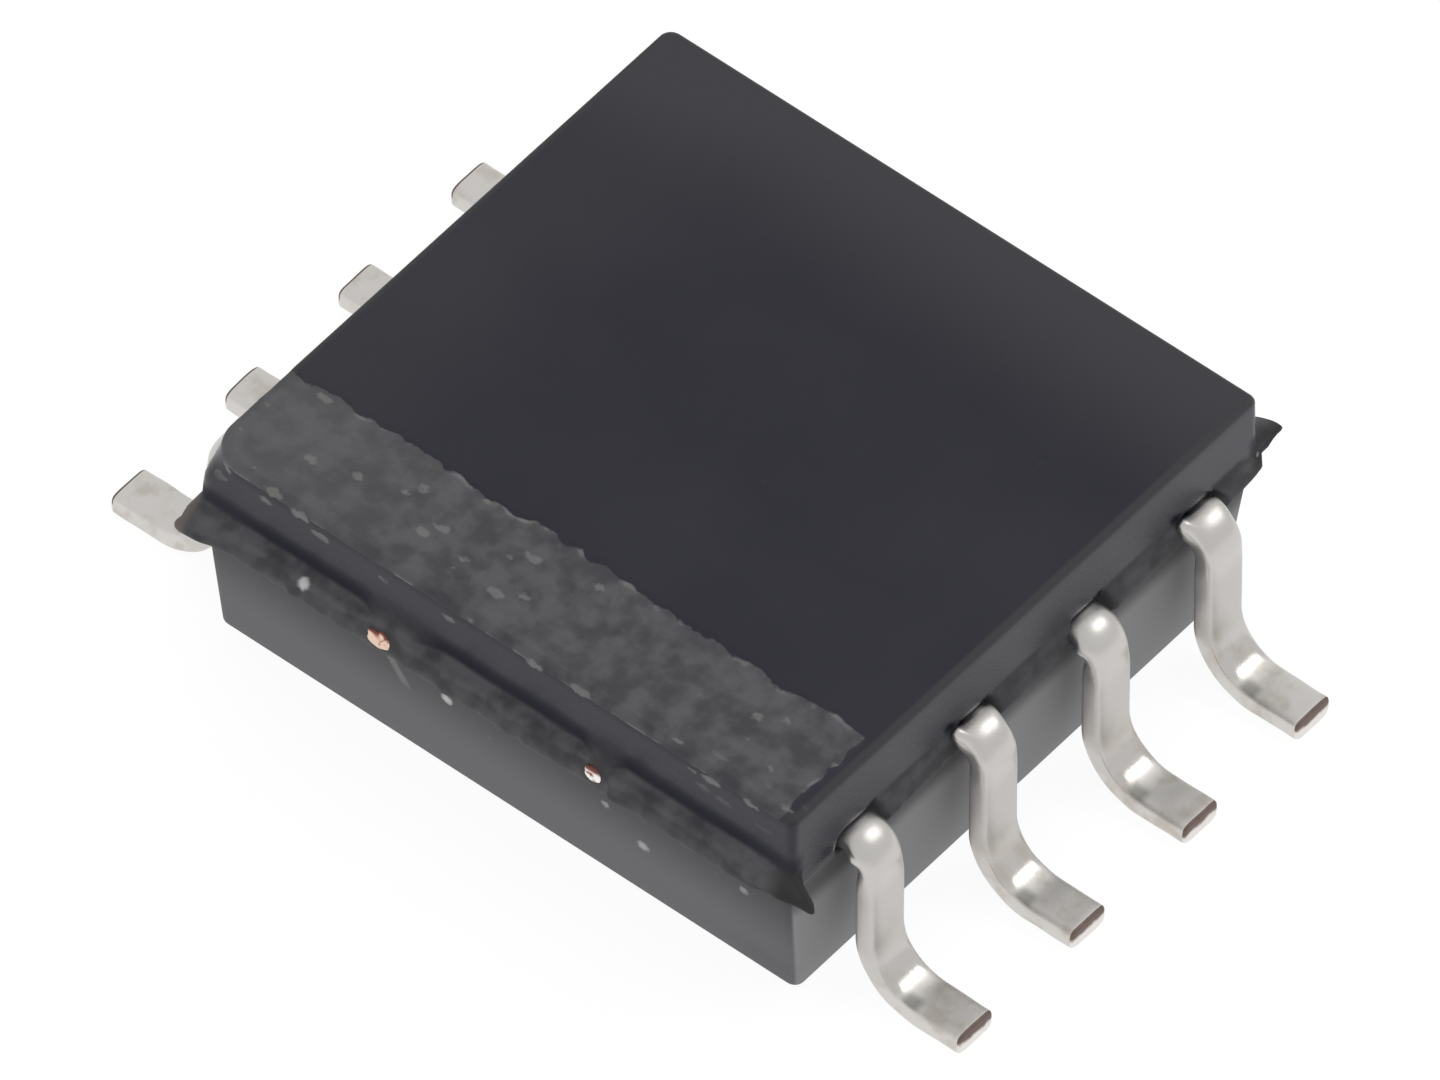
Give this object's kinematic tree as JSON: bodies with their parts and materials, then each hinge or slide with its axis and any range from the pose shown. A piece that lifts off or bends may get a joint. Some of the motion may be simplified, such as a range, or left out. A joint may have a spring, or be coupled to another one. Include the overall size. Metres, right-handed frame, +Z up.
{
  "type": "logic gate chip",
  "caption": "Small surface-mount logic gate chip: black moulded body with gull-wing leads along two sides and a rough index band across one end of its top.",
  "frame": {"origin": "centre of the footprint on the seating plane, under the feet of the leads", "axes": "+X along the lead rows and away from the index band, +Y across the rows, +Z up out of the board"},
  "size_m": [0.0028, 0.004, 0.0011],
  "materials": {
    "mould_compound": "black moulded epoxy, satin",
    "tinned_copper": "matt tin plate over copper alloy",
    "copper": "bare copper alloy",
    "adhesive": "silver-filled epoxy",
    "silicon": "polished silicon",
    "gold_wire": "drawn gold"
  },
  "bodies": {
    "root": {"mould_body": "mould_compound", "die_pad": "copper", "die_attach": "adhesive", "die": "silicon", "lead_1": "tinned_copper", "lead_2": "tinned_copper", "lead_3": "tinned_copper", "lead_4": "tinned_copper", "lead_5": "tinned_copper", "lead_6": "tinned_copper", "lead_7": "tinned_copper", "lead_8": "tinned_copper", "bond_wire_1": "gold_wire", "bond_wire_2": "gold_wire", "bond_wire_3": "gold_wire", "bond_wire_4": "gold_wire", "bond_wire_5": "gold_wire", "bond_wire_6": "gold_wire", "bond_wire_7": "gold_wire", "bond_wire_8": "gold_wire"}
  },
  "joints": []
}
